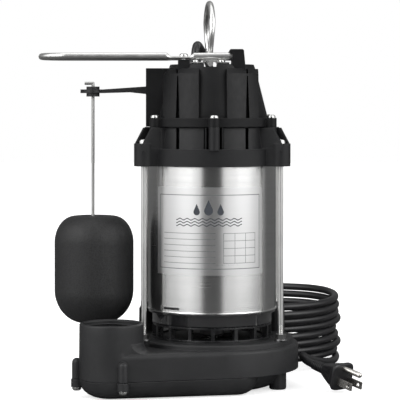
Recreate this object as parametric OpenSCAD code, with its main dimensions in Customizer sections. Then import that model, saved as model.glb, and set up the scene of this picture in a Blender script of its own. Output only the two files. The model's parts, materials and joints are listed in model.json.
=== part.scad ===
// Submersible sump pump with a float switch, a coiled power cord and its plug.
// Millimetres. The motor axis is z and the pump stands on the floor at z = 0.
// The float and discharge socket are to the left (-x), the socket also to the front (-y),
// and the coiled cord lies behind (+y).

/* [Motor case] */
// Outside diameter of the stainless motor case
can_d = 114.5; // [112:0.5:116]
// Wall thickness of the motor case
can_wall = 0.9; // [0.6:0.1:1.2]
// Height of the lower end of the motor case above the floor
can_z0 = 68.7; // [68.5:0.1:70]
// Start angle of the rating label round the case
label_a0 = 213.2; // [205:0.5:220]
// Angle covered by the rating label
label_sweep = 106.9; // [90:0.5:115]

/* [Pump base] */
// Outside radius of the volute drum
volute_r = 77.5; // [76.5:0.1:78.5]
// Height of the joint between volute and bottom cover
seam_z = 16.5; // [16:0.5:17]
// Height of the flat rim that carries the suction screen
deck_z = 44; // [43.5:0.1:44]
// Horizontal run of the rounding under the discharge socket
dish_run = 20; // [16:1:22]
// Radius of the round feet
foot_r = 7.6; // [6:0.1:9]

/* [Discharge] */
// Discharge socket, distance left of the motor axis
tower_x = -87; // [-88:0.5:-86]
// Discharge socket, distance in front of the motor axis
tower_y = -72; // [-73:0.5:-71]
// Outside radius of the discharge socket
tower_r = 28; // [27.5:0.1:28.5]
// Pipe thread radius in the socket, for inch and a half pipe
thread_r = 24.1; // [22:0.1:24.5]
// Height of the socket mouth
tower_z = 64; // [60:1:66]
// Depth of the threaded part of the socket
thread_len = 24; // [18:1:25]

/* [Suction screen] */
// Number of ribs in the suction screen
rib_count = 16; // [12:1:20]
// Width of each rib
rib_w = 3; // [2:0.1:4]

/* [Tie bolts] */
// Distance of the tie bolts to the left and right of the axis
tie_x = 60.2; // [60:0.1:61]
// Distance of the tie bolts in front of and behind the axis
tie_y = 35; // [34.5:0.1:36]
// Shank diameter of the tie bolts
tie_d = 4.8; // [4.4:0.1:5]

/* [Float switch] */
// Distance of the float rod to the left of the axis
rod_x = -107.1; // [-108:0.1:-106]
// Diameter of the float rod
rod_d = 2.75; // [2.5:0.05:2.9]
// Height of the switch arm's pivot
arm_z = 264; // [263.5:0.1:264.5]
// Pivot distance to the left of the axis
arm_pivot = 46; // [45.5:0.1:46.5]
// Float diameter
float_d = 71; // [66:0.5:71]
// Height of the underside of the float at rest
float_z = 55.5; // [55.5:0.1:57]
// Height of the float itself
float_h = 96; // [90:1:97]

/* [Wire parts] */
// Diameter of the float guard wire
guard_d = 5.8; // [5:0.1:6]
// Length of the float guard to the left of the axis
guard_x = 155.7; // [150:0.1:160]
// Diameter of the carrying handle wire
handle_d = 5.2; // [4.6:0.1:5.2]
// Height of the top of the carrying handle
handle_top = 345; // [325:1:350]

/* [Power cord] */
// Cord diameter
cord_d = 7; // [6:0.1:7.2]
// Radius of the coiled cord
coil_r = 90; // [85:0.5:90]
// Turns of cord in the coil
coil_turns = 9; // [8:1:9]

/* [Hidden] */
$fn = 96;
black = [0.07, 0.07, 0.075];
steel = [0.72, 0.73, 0.74];
rubber = [0.12, 0.12, 0.12];

// pump base
gasket_t = 0.4;
pan_z = seam_z - gasket_t;  // top of the bottom cover
deck_low = deck_z - 4.3;    // shoulder of the drum
duct_angle = 13.65;
duct_w = tower_r*2 - 0.4;
// ears for the bottom cover screws: [x, y]
pan_ears = [[tower_x-29.6, tower_y-2.4], [-75.8, -98.9], [64.3, 45], [-45.5, 64.6], [-78.0, 13.5]];
foot_pts = [[58, -26], [58, 26], [-54, 36]];
tie_pts = [[tie_x, tie_y], [-tie_x, tie_y], [tie_x, -tie_y], [-tie_x, -tie_y]];
// the rear tie bolts stand on tall bosses
rear_boss_z = 65.5;
function seat_z(point) = point[1] > 0 ? rear_boss_z : deck_z;

// motor case and the castings at its ends
can_r = can_d/2;
can_inner_r = can_r - can_wall;
can_z1 = 203.5;
bell_r = 54;
o_ring_z = [73.9, 200.5];
clamp_z0 = 197.3;
clamp_z1 = 212.6;
flange_z0 = 232;
flange_z1 = 239.8;
cover_top = 287.4;
screw_r = 59.3;  // pitch radius of the cover screws

// fittings on top of the switch cover
guard_r = guard_d/2;
guard_y = 28;
guard_z = 294.6;
guard_screw_pts = [for (side=[-1,1]) [-25.2, side*guard_y]];
strap_y = 28.4;
strap_screw_pts = [for (side=[-1,1], x=[-15.2,8.4]) [x, side*strap_y]];
gland_x = -15.5;
gland_y = 12;

// float switch
rod_r = rod_d/2;
rod_z0 = 51;
rod_z1 = 270.7;
arm_plate_z = 261.9;
arm_plate_h = 3.3;
grommet_z = 263.6;

// rotating parts
shaft_r = 6;
core_z = 105;
core_h = 70;
slot_count = 24;
bearing_z = [75.1, 195.9];
bearing_h = 10;
ball_pitch_r = 11;

/* ---- shared shapes ---- */

// box that starts at place and is centred on it across y
module block(place, size) translate(place-[0,size[1]/2,0]) cube(size);
module ring(inner_r, outer_r, z, height) difference() {
  translate([0,0,z]) cylinder(r=outer_r, h=height);
  translate([0,0,z-1]) cylinder(r=inner_r, h=height+2);
}
// upright outline in x and z, made solid across y
module slab(outline, y, width)
  translate([0,y+width/2,0]) rotate([90,0,0]) linear_extrude(width) polygon(outline);
// everything in a 20 mm layer above z, for cutting castings off flat
module trim(z) translate([-200,-200,z]) cube([400,400,20]);

module at_points(points, z=0) for (p=points) translate([p[0],p[1],z]) children();
module turn_to(point) rotate(atan2(point[1], point[0])) children();

// elliptical arc as [x, y] points
function oval_arc(centre, radii, start, end, steps) = [for (i=[0:steps])
  let(angle=start+(end-start)*i/steps) centre + [radii[0]*cos(angle), radii[1]*sin(angle)]];
function arc(centre, radius, start, end, steps) =
  oval_arc(centre, [radius,radius], start, end, steps);

// round section swept along a path; up is any vector never parallel to the path
function unit(vector) = vector/norm(vector);
function ring_at(point, tangent, radius, sides, up) =
  let(across=unit(cross(tangent, up)), over=cross(tangent, across))
  [for (j=[0:sides-1]) point + radius*(across*cos(360*j/sides) + over*sin(360*j/sides))];
module sweep(path, radius, sides, up) {
  last = len(path)-1;
  points = [for (i=[0:last])
    let(tangent=unit(path[min(i+1,last)]-path[max(i-1,0)]))
    each ring_at(path[i], tangent, radius, sides, up)];
  walls = [for (i=[0:last-1], j=[0:sides-1])
    let(a=i*sides+j, b=i*sides+(j+1)%sides)
    each [[a, a+sides, b+sides], [a, b+sides, b]]];
  start_cap = [for (j=[0:sides-1]) j];
  end_cap = [for (j=[sides-1:-1:0]) last*sides+j];
  polyhedron(points=points, faces=concat([start_cap], walls, [end_cap]));
}

module pan_head(radius, height) rotate_extrude($fn=48)
  polygon([[0,0], [radius,0], [radius,height*0.45], [radius*0.86,height*0.8],
    [radius*0.55,height], [0,height]]);
module cross_slot(z, length=4.6, width=1, depth=3) translate([0,0,z]) linear_extrude(depth) {
  square([length,width], center=true);
  square([width,length], center=true);
}
// screw with the underside of its head at z = 0
module pan_screw(head_r, head_h, shank_r, length, slot_z, slot_l=4.6, slot_w=1) difference() {
  union() {
    pan_head(head_r, head_h);
    translate([0,0,-length]) cylinder(r=shank_r, h=length+0.1);
  }
  cross_slot(slot_z, slot_l, slot_w);
}

/* ---- pump base ---- */

module at_tower(z=0) translate([tower_x,tower_y,z]) children();
// x runs from the socket along the duct
module along_duct(z=0) at_tower(z) rotate(duct_angle) children();

// disc with an elliptical rounding at its lower edge, carried 2 mm above its height
module rounded_disc(radius, run, steps=10, sides=96) rotate_extrude($fn=sides)
  polygon(concat([[0,pan_z+2], [0,0]],
    oval_arc([radius-run,pan_z], [run,pan_z], 270, 360, steps),
    [[radius,pan_z+2]]));
// bowl that closes the pump chamber, with its arm under the discharge socket
module dish() {
  arm_end_r = 21.6;
  rounded_disc(66, 22);
  hull() {
    at_tower() rounded_disc(tower_r-0.1, dish_run, 7, 56);
    along_duct() translate([106.5,arm_end_r-tower_r+0.2,0]) rounded_disc(arm_end_r, 15, 7, 56);
  }
}
module bottom_cover() color(black) difference() {
  web_z = 10.5;
  web_h = seam_z-9.5;
  union() {
    dish();
    // ears for the cover screws and the webs that carry them
    at_points(pan_ears, 9.5) cylinder(r=4.9, h=seam_z-8);
    for (i=[2:4]) turn_to(pan_ears[i]) block([50,0,web_z], [28,8,web_h]);
    translate([pan_ears[0][0],pan_ears[0][1]-4,web_z]) rotate(5) cube([12,8,web_h]);
    translate([pan_ears[1][0]-4,pan_ears[1][1],web_z]) cube([8,12,web_h]);
    at_points(foot_pts) rotate_extrude()
      polygon([[0,0], [foot_r-0.8,0], [foot_r,1], [foot_r,seam_z+1], [0,seam_z+1]]);
  }
  trim(pan_z);
  // stepped hollow under the impeller
  translate([0,0,3.2]) cylinder(r=40, h=20);
  translate([0,0,8]) cylinder(r=54, h=20);
  // screw holes and counterbores
  at_points(pan_ears, -1) cylinder(r=2.2, h=30);
  at_points(pan_ears, -1) cylinder(r=4.25, h=10.47);
  // hollow under the socket and duct
  at_tower(7) cylinder(r=17, h=20);
  along_duct(7) block([0,0,0], [60,32,20]);
}
module bottom_cover_screws() color(steel) at_points(pan_ears) difference() {
  union() {
    translate([0,0,9.3]) cylinder(r=2, h=19);
    translate([0,0,7.6]) cylinder(r=3.9, h=1.85);
    translate([0,0,6.4]) cylinder(r1=2.8, r2=3.9, h=1.2);
  }
  cross_slot(5.4, 4.4, 0.9, 2.2);
}
module volute_gasket() color(rubber) translate([0,0,pan_z]) linear_extrude(gasket_t) difference() {
  union() {
    circle(r=64);
    at_tower() circle(r=24.5);
    along_duct() translate([0,-24.3]) square([64,48.6]);
  }
  circle(r=60.5);
  at_tower() circle(r=21.5);
  along_duct() translate([0,-21]) square([70,42]);
}

// drum with rounded shoulder and raised rim
module drum() rotate_extrude($fn=128) polygon(concat(
  [[0,seam_z-2], [volute_r,seam_z-2]],
  arc([volute_r-3.5,deck_low-3.5], 3.5, 0, 90, 5),
  [[72.9,deck_low], [72.5,deck_z-1], [71.6,deck_z], [0,deck_z]]));
// tangential discharge duct with rounded top edges
module duct() {
  edge_r = 4;
  edge_x = duct_w/2-edge_r;
  edge_z = deck_low-4.3;
  along_duct() rotate([90,0,90]) linear_extrude(98) polygon(concat(
    [[-duct_w/2,seam_z-3]],
    arc([-edge_x,edge_z], edge_r, 180, 90, 5),
    arc([edge_x,edge_z], edge_r, 90, 0, 5),
    [[duct_w/2,seam_z-3]]));
}
module socket() at_tower() rotate_extrude() polygon(concat(
  [[0,seam_z-2.5], [tower_r,seam_z-2.5]],
  arc([tower_r-2,tower_z-1.6], 1.6, 0, 90, 4),
  [[0,tower_z]]));
// blend where the socket rises from the duct
module socket_blend() {
  blend_r = 9;
  intersection() {
    at_tower(deck_low-1) rotate_extrude() polygon(concat([[20,0]],
      arc([tower_r+blend_r,blend_r], blend_r, 270, 180, 6),
      [[20,blend_r]]));
    along_duct(30) block([0,0,0], [60,duct_w-5.2,30]);
  }
}
// tapered bosses under the rear tie bolts
module rear_bosses() {
  top = rear_boss_z-deck_low+8;
  at_points([for (p=tie_pts) if (p[1]>0) p], deck_low-8) rotate_extrude($fn=64)
    polygon([[0,0], [6.9,0], [6.6,top-0.8], [5.9,top], [0,top]]);
}
// screw bosses with rounded tops
module ear_bosses() {
  boss_r = 4.2;
  boss_z = seam_z+13.6;
  at_points(pan_ears) rotate_extrude($fn=48) polygon(concat(
    [[0,seam_z-1.5], [boss_r,seam_z-1.5]],
    arc([0,boss_z], boss_r, 0, 75, 5),
    [[0,boss_z+boss_r*sin(75)]]));
}
module volute_housing() color(black) difference() {
  union() {
    drum();
    duct();
    socket();
    socket_blend();
    rear_bosses();
    ear_bosses();
  }
  trim(seam_z-20);
  // pump chamber, duct and socket bores
  translate([0,0,seam_z-1]) cylinder(r=60, h=21);
  along_duct(seam_z-1) block([0,0,0], [60,39,19]);
  at_tower(seam_z-1) cylinder(r=21, h=60);
  at_tower(tower_z-thread_len) cylinder(r=thread_r, h=60);
  at_tower(tower_z-1.2) cylinder(r1=thread_r, r2=thread_r+1.3, h=1.3);
  // suction eye
  translate([0,0,30]) cylinder(r=21.5, h=30);
  // tie bolt and cover screw holes
  at_points(tie_pts, 24) cylinder(r=tie_d/2+0.05, h=50);
  at_points(pan_ears, seam_z-1) cylinder(r=2.05, h=14);
}
// two rims joined by upright ribs
module intake_screen() color(black) {
  ring(47, 55.5, deck_z, 1.8);
  ring(47, 53, 55, 1.5);
  for (i=[0:rib_count-1]) rotate(i*360/rib_count+0.5)
    block([48,0,deck_z+1], [5.3,rib_w,11.2]);
}

/* ---- motor case ---- */

module o_ring_groove(z) rotate_extrude() translate([can_inner_r-1.6,z-1.5]) square([3,3]);

module lower_motor_bell() color([0.03,0.03,0.035]) difference() {
  rotate_extrude() polygon([[0,56.6], [bell_r-1.2,56.6], [bell_r,57.8], [bell_r,66.4],
    [bell_r+0.6,67], [can_r-0.2,67], [can_r-0.2,68.6], [can_inner_r-0.1,68.6],
    [can_inner_r-0.1,78.6], [can_inner_r-0.8,79.4], [50,79.4], [48,71], [24,71],
    [22,87], [0,87]]);
  // shaft hole, seal recess and bearing seat
  translate([0,0,50]) cylinder(r=6.6, h=50);
  translate([0,0,56]) cylinder(r=13, h=7);
  translate([0,0,75]) cylinder(r=16, h=20);
  o_ring_groove(o_ring_z[0]);
}
module seal_seat() color([0.82,0.8,0.75]) ring(6.8, 12.95, 56.9, 6);
module seal_rotor() color([0.15,0.15,0.16]) rotate_extrude()
  polygon([[6.03,44], [9,44], [11,46], [11,52], [9.5,53], [9.5,56.8], [6.03,56.8]]);
// plain tube with a bead round its lower end
module motor_can() color(steel) difference() {
  translate([0,0,can_z0]) {
    cylinder(r=can_r, h=can_z1-can_z0, $fn=160);
    rotate_extrude($fn=160) polygon([[can_r-0.3,0], [can_r+0.7,0.2], [can_r+0.9,0.9],
      [can_r+0.6,1.5], [can_r-0.3,1.9]]);
  }
  translate([0,0,can_z0-1]) cylinder(r=can_inner_r, h=150, $fn=160);
}
module can_o_rings() color([0.1,0.1,0.1])
  for (z=o_ring_z) rotate_extrude() translate([can_inner_r-0.8,z]) circle(r=0.76, $fn=24);
module rating_label() color([0.8,0.8,0.8])
  rotate([0,0,label_a0]) rotate_extrude(angle=label_sweep, $fn=160)
    translate([can_r+0.02,103]) square([0.18,76.5]);

/* ---- motor cap and switch cover ---- */

// the six cover screw positions, k = 0 to 5
function boss_angle(k) = 31.5+60*k;
module at_bosses() for (k=[0:5]) rotate(boss_angle(k)) children();
module boss_rods(radius, z, height)
  at_bosses() translate([screw_r,0,z]) cylinder(r=radius, h=height);

// slices of a cone, one for each [x0, x1] span, on the front (side -1) or back (side 1)
module pads(lower_r, upper_r, z0, z1, spans, side) intersection() {
  translate([0,0,z0]) cylinder(r1=lower_r, r2=upper_r, h=z1-z0);
  for (x=spans) translate([x[0], side>0 ? 0 : -80, z0]) cube([x[1]-x[0],80,z1-z0]);
}
module cap_body() difference() {
  body_z = clamp_z1-1;
  body_h = flange_z0-body_z;
  gusset = [[44.3,flange_z0+2.5], [64.2,flange_z0+2.5], [74.6,216.9], [75,216.2], [75,211],
    [44.3,205]];
  union() {
    // clamping ring
    translate([0,0,clamp_z0]) cylinder(r=60.5, h=clamp_z1-clamp_z0, $fn=128);
    // body above the ring, and its pads
    translate([0,0,body_z]) cylinder(r1=49.5, r2=47.8, h=body_h+2);
    for (side=[-1,1]) pads(55.5, 52.6, body_z, flange_z0+2.2,
      [[-46.3,-31.6], [-29,-7.2], [9.6,29], [31.6,46.5]], side);
    // lugs for the tie bolts, with gussets either side of each bolt
    at_points(tie_pts, clamp_z0) cylinder(r=8.7, h=20);
    for (p=tie_pts) turn_to(p) {
      block([45.4,0,clamp_z0], [24.2,16.8,16.2]);
      for (y=[-7,7]) slab(gusset, y, 2.2);
    }
    // cover screw bosses with side ridges
    boss_rods(4.8, body_z, body_h+2.2);
    at_bosses() {
      block([44,0,body_z], [15.3,9.6,body_h+1.8]);
      for (y=[-7.2,7.2]) block([44,y,body_z], [13.2,1.2,body_h+1.6]);
    }
  }
  trim(flange_z0-0.8);
}
module motor_cap() color(black) difference() {
  union() {
    cap_body();
    // boss faces that meet the cover flange
    boss_rods(4.65, flange_z0-2, 1.97);
    // spigot inside the motor case
    translate([0,0,190]) cylinder(r=can_inner_r-0.1, h=15);
    // block under the snap switch
    block([-42.4,0,220], [21.4,16,17.8]);
  }
  // recess for the rim of the motor case
  difference() {
    translate([0,0,clamp_z0-1]) cylinder(r=can_r+0.1, h=7.5, $fn=128);
    translate([0,0,180]) cylinder(r=can_inner_r-0.1, h=30);
  }
  o_ring_groove(o_ring_z[1]);
  // hollow below the bearing web, round the bearing housing
  difference() {
    translate([0,0,189]) cylinder(r=52.5, h=11);
    translate([0,0,180]) cylinder(r=22, h=30);
  }
  // shaft hole and bearing seat
  translate([0,0,189]) cylinder(r=6.6, h=17.5);
  translate([0,0,189]) cylinder(r=16, h=17);
  // hollow above the web, leaving the block under the snap switch
  difference() {
    translate([0,0,209]) cylinder(r=43.5, h=40);
    block([-44,0,200], [23,16,50]);
  }
  at_points(tie_pts, 190) cylinder(r=tie_d/2+0.25, h=50);
  boss_rods(1.95, 219, 30);
  // wire passages in the bearing web
  for (a=[60,240]) rotate(a) translate([34,0,195]) cylinder(r=4, h=20);
}
module cover_gasket() color(rubber) ring(45, 51, flange_z0-0.75, 0.7);

// buttress pads on the front or back of the cover, the lower row split by tapered grooves
module cover_pads(side) {
  groove = [[-0.5,277], [0.4,277], [1.6,flange_z1], [-1.6,flange_z1]];
  difference() {
    pads(53.5, 46, flange_z1-1, 279,
      [[-43.6,-31.2], [-31.2,-12], [13,30.6], [30.6,41.2]], side);
    for (x=[-30.4,31]) translate([x,0,0]) slab(groove, side*60, 60);
  }
  pads(46, 42.4, 279, 283.4, [[-43.6,-31.6], [-30,-12], [13,30], [31.6,41.2]], side);
}
module cover_body() {
  guard_post = [[17.6,278], [17.6,296.4], [15.4,297.4], [15.2,299.6], [16.2,300.6],
    [26.8,300.6], [28,299.6], [30,278]];
  // flange with the screw ears
  translate([0,0,flange_z0]) linear_extrude(flange_z1-flange_z0) {
    circle(r=56.3, $fn=128);
    at_bosses() {
      translate([screw_r,0]) circle(r=4.9);
      translate([50,-4.8]) square([9.3,9.6]);
    }
  }
  // tapered dome
  rotate_extrude() polygon([[0,235], [49.4,235], [49.4,243], [40.9,276.8], [38.6,284.8],
    [37.6,cover_top], [0,cover_top]]);
  // lever box
  block([-59,0,flange_z0], [32,34,52]);
  for (side=[-1,1]) {
    cover_pads(side);
    // posts for the float guard, left and right
    block([-30.3,side*guard_y,278], [10.3,10.4,13.4]);
    slab(guard_post, side*guard_y, 11.2);
    // saddles under the handle straps
    for (x=[-18.4,2.6]) block([x,side*27,283], [12.4,10,5.2]);
  }
}
module switch_cover() color(black) difference() {
  cover_body();
  // hollow
  rotate_extrude()
    polygon([[0,230], [43.5,230], [43.5,240], [36.5,276], [33.5,281], [0,281]]);
  block([-56.4,0,236], [40,29.2,45]);
  // opening for the switch arm
  block([-60,0,259.6], [10,12.4,12.4]);
  pivot_rod(2.03, 32.2);
  // cable gland hole
  translate([gland_x,gland_y,270]) cylinder(r=6.3, h=30);
  boss_rods(2.2, 225, 30);
  // guard and strap screw holes
  at_points(guard_screw_pts, 281.5) cylinder(r=1.8, h=20);
  at_points(strap_screw_pts, 281.5) cylinder(r=1.65, h=20);
  for (side=[-1,1]) {
    // socket for the guard wire
    translate([10,side*guard_y,guard_z]) rotate([0,90,0]) cylinder(r=guard_r+0.1, h=15);
    // channel that takes a handle foot
    block([-7.2,side*32.5,284.95], [11.4,25,10]);
  }
  // shallow recess in the middle of the top
  translate([0,0,284.6]) difference() {
    cylinder(r=30, h=4);
    for (side=[-1,1]) block([-60,side*34.5,-1], [120,25,9]);
  }
}
// each screw is turned a little further than the one before
module cover_screws() color(steel) for (k=[0:5])
  rotate(boss_angle(k)) translate([screw_r,0,flange_z1+0.02]) rotate(k*17)
    pan_screw(3.9, 2.8, 1.9, length=19, slot_z=1.4);

/* ---- tie bolts ---- */

module tie_bolts() color(steel) at_points(tie_pts) {
  // slimmer lower end
  translate([0,0,24.5]) cylinder(r=tie_d/2-0.15, h=40);
  translate([0,0,217.35]) pan_screw(4.1, 3.6, tie_d/2, length=159.35, slot_z=1.55);
}
module tie_bolt_washers() color(steel)
  for (p=tie_pts) translate([p[0],p[1],seat_z(p)+0.03]) ring(2.5, 5.6, 0, 1.2);
// each nut is turned by its x position, read as degrees
module tie_bolt_nuts() color(steel)
  for (p=tie_pts) translate([p[0],p[1],seat_z(p)+1.3]) difference() {
    rotate(p[0]) cylinder(r=4.9, h=4.2, $fn=6);
    translate([0,0,-1]) cylinder(r=tie_d/2+0.02, h=8);
  }

/* ---- float guard and carrying handle ---- */

// wire loop round the float, flat tabs under it and wire ends into the right posts
module float_guard() color(steel) {
  bend_r = 24;
  bend_x = -guard_x+guard_r+bend_r;
  bend_y = guard_y-bend_r;
  loop = concat([[-37,-guard_y]],
    arc([bend_x,-bend_y], bend_r, 270, 180, 8),
    arc([bend_x,bend_y], bend_r, 180, 90, 8),
    [[-37,guard_y]]);
  translate([0,0,guard_z]) {
    sweep([for (p=loop) [p[0],p[1],0]], guard_r, 12, [0,0,1]);
    difference() {
      for (side=[-1,1]) block([-39,side*guard_y,-2.6], [22.5,9.2,2.2]);
      at_points(guard_screw_pts, -8) cylinder(r=2.1, h=20);
    }
    for (side=[-1,1])
      translate([-18,side*guard_y,0]) rotate([0,90,0]) cylinder(r=guard_r, h=40, $fn=32);
  }
}
module guard_screws() color(steel) at_points(guard_screw_pts, guard_z-0.35)
  pan_screw(3.8, 2.6, 1.75, length=12.5, slot_z=1.2);

// degrees by which the handle is twisted out of the YZ plane at height z
function handle_twist(z) = 1.2+5*min(1, max(0, (z-296)/30));
// upright loop with feet turned outwards
module carry_handle() color(steel) translate([-2.4,0,0]) {
  handle_r = handle_d/2;
  foot_z = 287.8;
  bow_r = 27;
  // rear half as [y, z], from the foot to the top
  half = concat(
    [[34.5,foot_z], [25.4,foot_z], [22.8,foot_z+0.8], [21.6,foot_z+2.8], [21.3,foot_z+6],
      [21.9,foot_z+11], [24.2,foot_z+17], [26.3,foot_z+23]],
    arc([0,handle_top-handle_r-bow_r], bow_r, 0, 90, 9));
  path = concat(half, [for (i=[len(half)-2:-1:0]) [-half[i][0],half[i][1]]]);
  sweep([for (p=path) [-p[0]*tan(handle_twist(p[1])),p[0],p[1]]], handle_r, 12, [1,0,0]);
}
// clamp over each handle foot
module handle_straps() color(steel) difference() {
  strap = [[-19.6,288.25], [-8.2,288.25], [-6.8,290.45], [3.2,290.45], [4.6,288.25],
    [15.2,288.25], [15.2,289.25], [5.2,289.25], [3.8,291.4], [-7.4,291.4], [-8.8,289.25],
    [-19.6,289.25]];
  for (side=[-1,1]) slab(strap, side*strap_y, 6.8);
  at_points(strap_screw_pts, 280) cylinder(r=1.8, h=12);
}
module strap_screws() color(steel) at_points(strap_screw_pts, 289.28)
  pan_screw(3.1, 2.2, 1.6, length=7.5, slot_z=1.2, slot_l=3.6, slot_w=0.8);

/* ---- power cord and plug ---- */

module cord_gland() color(black) translate([gland_x,gland_y,0]) difference() {
  union() {
    translate([0,0,278]) cylinder(r=6.2, h=11);
    translate([0,0,284.7]) cylinder(r=7.2, h=3.4);
    translate([0,0,288]) cylinder(r1=6.4, r2=5.2, h=5);
  }
  translate([0,0,270]) cylinder(r=cord_d/2+0.15, h=40);
}

// cubic Bezier points; the curve leaves start towards pull_1 and meets end from pull_2
function curve(start, pull_1, pull_2, end, steps) = [for (t=steps)
  start*pow(1-t,3) + 3*pull_1*t*pow(1-t,2) + 3*pull_2*t*t*(1-t) + end*pow(t,3)];
cord_floor_z = cord_d/2+0.4;
coil_centre = [37, 168.5];
// helix whose radius wavers a little from turn to turn
function coil_point(angle) = let(radius=coil_r-1.2-1.2*cos(angle*0.37))
  [coil_centre[0]+radius*cos(angle), coil_centre[1]+radius*sin(angle),
    cord_floor_z+angle/360*(cord_d+0.3)];
// from the plug over the floor to the coil, up behind the pump and over the top into the gland
module power_cord() color(black) {
  eighths = [0:0.125:0.999];
  fifths = [0:0.2:0.999];
  beside_pump = [85,36,20];
  on_floor = [119,128,cord_floor_z];
  behind_cover = [4,78,235];
  over_edge = [-3,58,290];
  above_top = [-11.3,36,304.8];
  coil_start = coil_point(0);
  coil = [for (a=[0:15:360*coil_turns-150]) coil_point(a)];
  coil_end = coil[len(coil)-1];
  coil_dir = unit(coil_end-coil[len(coil)-2]);
  sweep(concat(
    [[89.3,-23.06,21.44]],
    curve([87.38,-20.96,22.02], [81.88,-14.96,23.67], [80.5,8,26], beside_pump, eighths),
    curve(beside_pump, [93,86,9.3], [112,100,cord_floor_z], on_floor, eighths),
    curve(on_floor, [122.4,141.5,cord_floor_z], coil_start-[0,13.5,0], coil_start, fifths),
    coil,
    curve(coil_end, coil_end+coil_dir*55, [4,86,150], behind_cover, [0.05:0.05:0.999]),
    curve(behind_cover, [4,74,260], [1,66,280], over_edge, fifths),
    curve(over_edge, [-6,51,298], [-10.8,44,303.6], above_top, fifths),
    curve(above_top, [-11.8,27,306], [gland_x,gland_y,311], [gland_x,gland_y,294], [0:0.1:1]),
    [[gland_x,gland_y,288], [gland_x,gland_y,279]]
  ), cord_d/2, 8, [0.35,0.25,0.9]);
}

// plug frame: the front face is at x = 0 and the blades point along +x
module at_plug() translate([114,-50,14]) rotate([0,0,-47.5]) rotate([0,11.5,0]) children();
// rounded rectangle across the plug
module plug_plate(x, thickness, size) rotate([0,90,0]) translate([0,0,x])
  linear_extrude(thickness) offset(r=3, $fn=24) square(size, center=true);
module plug_body() color(black) at_plug() {
  plug_plate(-3, 3, [18,20]);
  hull() {
    plug_plate(-4, 1, [17,19]);
    plug_plate(-22, 1, [5.6,6.2]);
  }
  rotate([0,90,0]) translate([0,0,-37.2]) cylinder(r1=4.3, r2=5.2, h=16, $fn=32);
}
module plug_blades() color(steel) at_plug()
  for (side=[-1,1]) translate([0.03,side*6.35-0.75,-6.6]) difference() {
    cube([17,1.5,6.4]);
    translate([13,3,3.2]) rotate([90,0,0]) cylinder(r=1.6, h=6, $fn=32);
  }
module plug_ground_pin() color(steel) at_plug() translate([0.03,0,7.4]) rotate([0,90,0]) {
  cylinder(r=2.4, h=18, $fn=32);
  translate([0,0,18]) sphere(r=2.4, $fn=32);
}

/* ---- float switch ---- */

// rod along y, centred on the pivot of the switch arm
module pivot_rod(radius, length)
  translate([-arm_pivot,length/2,arm_z]) rotate([90,0,0]) cylinder(r=radius, h=length);
module switch_arm() color(black) difference() {
  lever = [[-112.5,261.9], [-98,261.9], [-74,262.6], [-59,261], [-50,260.2], [-44,261],
    [-30.5,262], [-30.5,266], [-50,268.2], [-59,267.9], [-98,265.2], [-112.5,265.2]];
  union() {
    slab(lever, 0, 10);
    // eye round the float rod, with a small square tab
    translate([rod_x,0,arm_plate_z]) cylinder(r=8.6, h=arm_plate_h);
    block([-118.2,0,arm_plate_z], [6,6,arm_plate_h]);
    pivot_rod(5, 10);
  }
  translate([rod_x,0,250]) cylinder(r=4.45, h=30);
  pivot_rod(2.05, 20);
}
module arm_pivot_pin() color(steel) pivot_rod(2, 32);
module arm_grommet() color(black) translate([rod_x,0,grommet_z]) rotate_extrude()
  polygon([[3.0,-4.8], [5.9,-4.8], [5.9,-1.75], [4.4,-1.75], [4.4,1.65], [5.9,1.65],
    [5.9,4.2], [3.0,4.2], [1.75,0.3], [1.75,-0.3]]);
// rod with a swelling in the grommet and its top bent to the left
module float_rod() color(steel) translate([rod_x,0,0]) {
  translate([0,0,rod_z0]) cylinder(r=rod_r, h=rod_z1-rod_z0, $fn=32);
  translate([0,0,rod_z1]) sphere(r=rod_r, $fn=32);
  translate([0,0,grommet_z]) sphere(r=rod_r+0.3, $fn=32);
  translate([0,0,rod_z1]) rotate([0,-90,0]) cylinder(r=rod_r, h=7.5, $fn=32);
}
module rod_stop() color(steel) translate([rod_x,0,0]) ring(rod_r+0.01, 5, rod_z0+0.3, 3.8);
// float with elliptical shoulders; its body sits 1 mm right of the rod
module float_ball() color([0.09,0.09,0.09]) translate([rod_x+1,0,float_z]) difference() {
  float_r = float_d/2;
  rotate_extrude($fn=96) polygon(concat([[0,0]],
    oval_arc([9,30], [float_r-9,30], 270, 360, 12),
    oval_arc([float_r-18,float_h-24], [18,24], 0, 90, 12),
    [[0,float_h]]));
  translate([-1,0,-1]) cylinder(r=rod_r+0.09, h=float_h+2, $fn=48);
}
module snap_switch() color([0.25,0.1,0.1]) difference() {
  block([-42,0,238], [18,12,18]);
  translate([-33,0,245.5]) cylinder(r=2.05, h=20);
}
module switch_plunger() color([0.8,0.3,0.2]) translate([-33,0,250]) cylinder(r=2, h=11.1);

/* ---- inside the motor ---- */

module run_capacitor() color([0.75,0.76,0.78]) translate([15,6,209.2]) {
  cylinder(r=14.5, h=48);
  for (x=[-5,5]) block([x-0.4,0,48], [0.8,6,7]);
}
module thermal_protector() color([0.2,0.2,0.22]) block([34,0,190.3], [9,16,5]);

module at_slots() for (i=[0:slot_count-1]) rotate(i*360/slot_count+7.5) children();
module stator_core() color([0.45,0.46,0.48]) difference() {
  translate([0,0,core_z]) cylinder(r=can_inner_r-0.05, h=core_h);
  translate([0,0,100]) cylinder(r=28.6, h=80);
  at_slots() block([33,0,100], [11,3.6,80]);
}
// end windings below and above the core, joined through its slots
module stator_windings() color([0.72,0.4,0.16]) {
  ring(32, 47, 88, 16.9);
  ring(32, 47, 175.1, 14.9);
  at_slots() block([33.3,0,104], [10.4,3,72]);
}
module rotor_core() color([0.55,0.56,0.58]) difference() {
  union() {
    translate([0,0,core_z]) cylinder(r=28, h=core_h);
    translate([0,0,101]) cylinder(r=26, h=78);
  }
  translate([0,0,90]) cylinder(r=shaft_r+0.01, h=100);
}
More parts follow.
